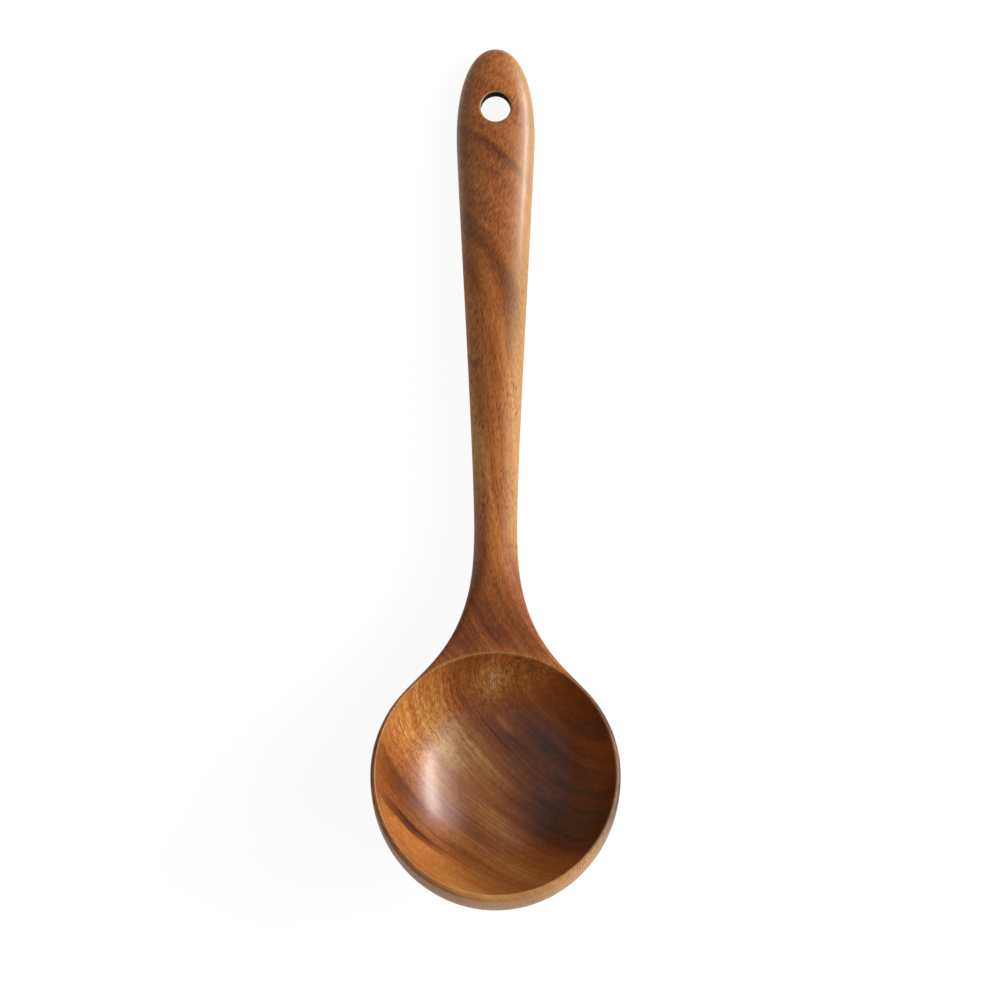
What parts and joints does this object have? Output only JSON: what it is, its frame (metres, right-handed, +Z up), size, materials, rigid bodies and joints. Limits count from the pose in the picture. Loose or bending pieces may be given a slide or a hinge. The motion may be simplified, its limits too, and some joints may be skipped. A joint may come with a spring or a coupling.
{
  "type": "wooden ladle",
  "caption": "Deep-bowled wooden ladle: a round bowl with a flared neck, glued by a round tenon to a flat tapered handle with a hanging hole near its tip.",
  "frame": {"origin": "middle of the small flat foot under the bowl, on the surface that the ladle lies on", "axes": "+Z up, +Y from the bowl to the tip of the handle, +X to the right seen from above with the handle away"},
  "size_m": [0.086, 0.3005, 0.0594],
  "materials": {
    "bowl_wood": "oiled satin, red-brown with dark growth bands",
    "handle_wood": "oiled satin, golden brown with dark growth bands"
  },
  "bodies": {
    "root": {"bowl": "bowl_wood", "handle": "handle_wood"}
  },
  "joints": []
}
